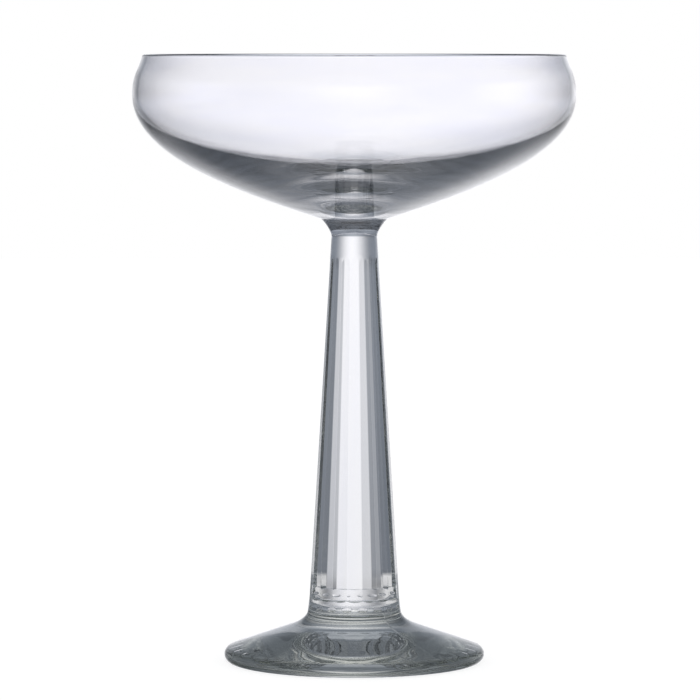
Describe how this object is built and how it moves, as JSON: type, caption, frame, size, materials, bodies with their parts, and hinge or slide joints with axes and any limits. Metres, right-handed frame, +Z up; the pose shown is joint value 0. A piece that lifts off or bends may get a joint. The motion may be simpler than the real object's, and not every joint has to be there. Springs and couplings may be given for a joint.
{
  "type": "coupe glass",
  "caption": "Clear coupe glass: shallow wide bowl, tall tapering panelled stem with a plain band and collar, and a domed round foot.",
  "frame": {"origin": "middle of the foot's resting ring, on the surface that the glass stands on", "axes": "+Z up through the middle of the rim; the glass is round about Z, with one panel of the stem facing about -Y"},
  "size_m": [0.109, 0.109, 0.15],
  "materials": {
    "bowl_glass": "clear, fire polished, thin walled",
    "stem_glass": "clear, solid, pressed with flat panels",
    "foot_glass": "clear, solid, pressed, fire polished on top"
  },
  "bodies": {
    "root": {"bowl": "bowl_glass", "stem": "stem_glass", "foot": "foot_glass"}
  },
  "joints": []
}
